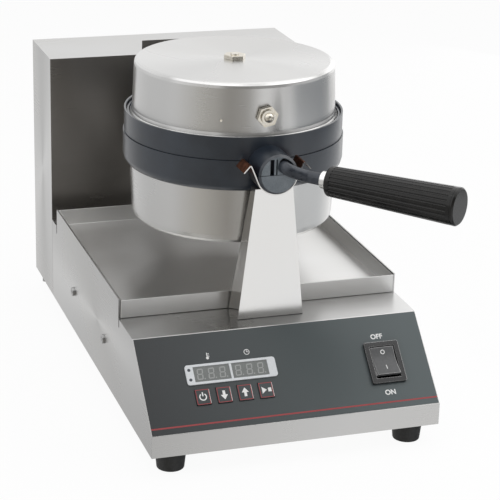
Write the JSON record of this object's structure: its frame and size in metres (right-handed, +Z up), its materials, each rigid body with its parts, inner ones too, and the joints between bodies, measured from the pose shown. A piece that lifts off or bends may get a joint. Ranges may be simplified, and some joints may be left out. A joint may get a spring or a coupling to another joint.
{
  "type": "belgian waffle maker",
  "caption": "Countertop waffle baker: round turning pan with a hinged lid on a sloped cabinet, rear tower, drip tray and side handle.",
  "frame": {"origin": "on the table under the middle of the whole outline, from the end of the handle at the front to the cord gland at the back", "axes": "+Z up, +Y from the sloped control panel to the back of the tower, +X to the right seen from the front"},
  "size_m": [0.2544, 0.5144, 0.2978],
  "materials": {
    "cabinet_steel": "brushed",
    "tray_steel": "brushed, brighter than the cabinet",
    "housing_steel": "finely brushed round the drum",
    "strap_steel": "bright edges, heat-browned faces",
    "fastener_steel": "nickel plated",
    "foot_rubber": "matt black",
    "overlay_film": "satin dark grey print",
    "bezel_plastic": "satin light grey",
    "window_plastic": "smoked",
    "key_plastic": "satin grey with a dark red outline",
    "switch_plastic": "black",
    "board_plastic": "circuit board green",
    "casting": "blue-black cast surface",
    "plate_casting": "seasoned casting",
    "heater_steel": "oxidised sheath",
    "insulation_board": "fibre board",
    "machined_steel": "turned",
    "bush_bronze": "turned bronze",
    "rod_steel": "dark satin",
    "ferrule_steel": "bright",
    "grip_phenolic": "black moulding"
  },
  "bodies": {
    "base": {"base_shell": "cabinet_steel", "bottom_plate": "cabinet_steel", "bottom_screws": "fastener_steel", "foot_front_left": "foot_rubber", "foot_front_right": "foot_rubber", "foot_rear_left": "foot_rubber", "foot_rear_right": "foot_rubber", "foot_screws": "fastener_steel", "side_screws": "fastener_steel", "panel_overlay": "overlay_film", "display_bezel": "bezel_plastic", "display_window_left": "window_plastic", "display_window_right": "window_plastic", "display_board": "board_plastic", "switch_bezel": "switch_plastic", "power_board": "board_plastic", "terminal_block": "board_plastic", "tower_shell": "cabinet_steel", "tower_back_panel": "cabinet_steel", "back_panel_screws": "fastener_steel", "cord_gland": "foot_rubber", "bearing_block": "casting", "bearing_screws": "fastener_steel", "bearing_bush": "bush_bronze", "wire_grommet": "foot_rubber", "front_post": "cabinet_steel", "post_screws": "fastener_steel", "saddle_strap": "strap_steel"},
    "tray": {"drip_tray": "tray_steel"},
    "rocker": {"switch_rocker": "switch_plastic"},
    "mode_key": {"mode_button": "key_plastic"},
    "down_key": {"down_button": "key_plastic"},
    "up_key": {"up_button": "key_plastic"},
    "timer_key": {"timer_button": "key_plastic"},
    "lower_pan": {"lower_casting": "casting", "lower_grid_plate": "plate_casting", "lower_plate_rim": "plate_casting", "lower_element": "heater_steel", "lower_insulation": "insulation_board", "lower_housing": "housing_steel", "lower_tie_bolt": "fastener_steel", "lower_probe": "heater_steel", "trunnion": "machined_steel", "trunnion_screws": "fastener_steel", "trunnion_collar": "machined_steel", "hinge_pins": "fastener_steel"},
    "upper_pan": {"upper_casting": "casting", "upper_grid_plate": "plate_casting", "upper_plate_rim": "plate_casting", "upper_element": "heater_steel", "upper_insulation": "insulation_board", "upper_housing": "housing_steel", "upper_tie_bolt": "fastener_steel", "probe_fitting": "fastener_steel", "housing_rivet": "fastener_steel", "handle_rod": "rod_steel", "handle_ferrule": "ferrule_steel", "handle_grip": "grip_phenolic", "grip_end_cap": "grip_phenolic"}
  },
  "joints": [
    {"name": "pan_flip", "type": "hinge", "parent": "base", "child": "lower_pan", "pos_m": [0, -0.1214, 0.2255], "axis": [0, 1, 0], "range_deg": [-180, 0]},
    {"name": "lid_open", "type": "hinge", "parent": "lower_pan", "child": "upper_pan", "pos_m": [0, 0.0975, 0.23], "axis": [-1, 0, 0], "range_deg": [0, 95]},
    {"name": "tray_lift", "type": "slide", "parent": "base", "child": "tray", "axis": [0, 0, 1], "range_m": [0, 0.03]},
    {"name": "power_switch", "type": "hinge", "parent": "base", "child": "rocker", "pos_m": [0.0854, -0.17504, 0.06414], "axis": [1, 0, 0], "range_deg": [0, 14]},
    {"name": "mode_press", "type": "slide", "parent": "base", "child": "mode_key", "axis": [0, 0.6889, -0.7249], "range_m": [0, 0.0012], "stiffness_N_per_m": 600, "springref_m": -0.0005},
    {"name": "down_press", "type": "slide", "parent": "base", "child": "down_key", "axis": [0, 0.6889, -0.7249], "range_m": [0, 0.0012], "stiffness_N_per_m": 600, "springref_m": -0.0005},
    {"name": "up_press", "type": "slide", "parent": "base", "child": "up_key", "axis": [0, 0.6889, -0.7249], "range_m": [0, 0.0012], "stiffness_N_per_m": 600, "springref_m": -0.0005},
    {"name": "timer_press", "type": "slide", "parent": "base", "child": "timer_key", "axis": [0, 0.6889, -0.7249], "range_m": [0, 0.0012], "stiffness_N_per_m": 600, "springref_m": -0.0005}
  ]
}
